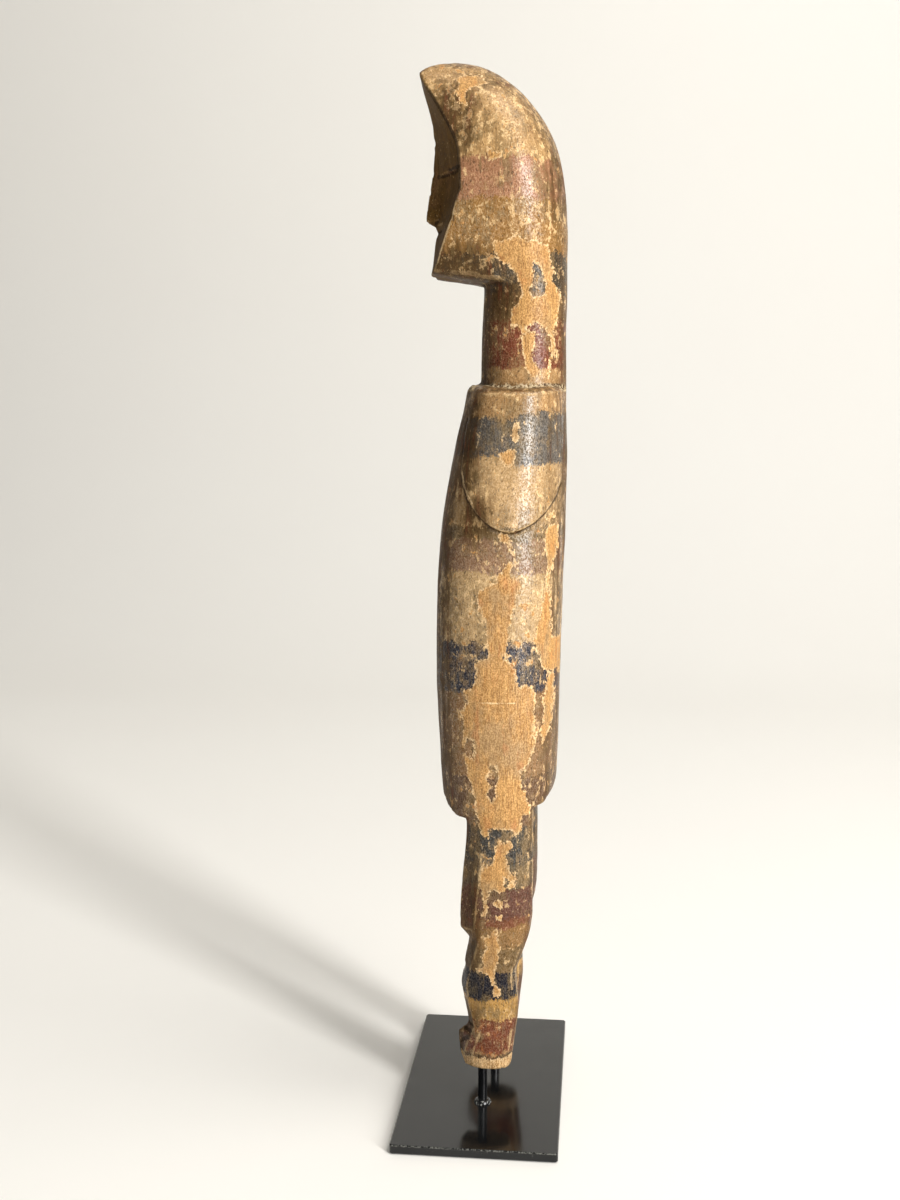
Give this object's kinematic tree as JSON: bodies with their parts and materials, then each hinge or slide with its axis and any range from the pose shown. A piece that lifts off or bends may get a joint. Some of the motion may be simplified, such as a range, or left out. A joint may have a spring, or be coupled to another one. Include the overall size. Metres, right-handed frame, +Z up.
{
  "type": "polychrome wooden figure",
  "caption": "Carved and painted wooden standing figure with a hollow keeled face, raised on two thin rods above a flat metal plate.",
  "frame": {"origin": "middle of the underside of the base plate, on the surface the object stands on", "axes": "+Z up, the figure faces -Y, its left side is towards +X, the plate's long side runs along X"},
  "size_m": [0.13, 0.07, 0.4501],
  "materials": {
    "painted_wood": "worn polychrome paint in bands over carved wood, flaked to bare wood, satin from handling",
    "black_metal": "gloss black"
  },
  "bodies": {
    "root": {"base_plate": "black_metal", "left_rod": "black_metal", "right_rod": "black_metal", "figure": "painted_wood"}
  },
  "joints": []
}
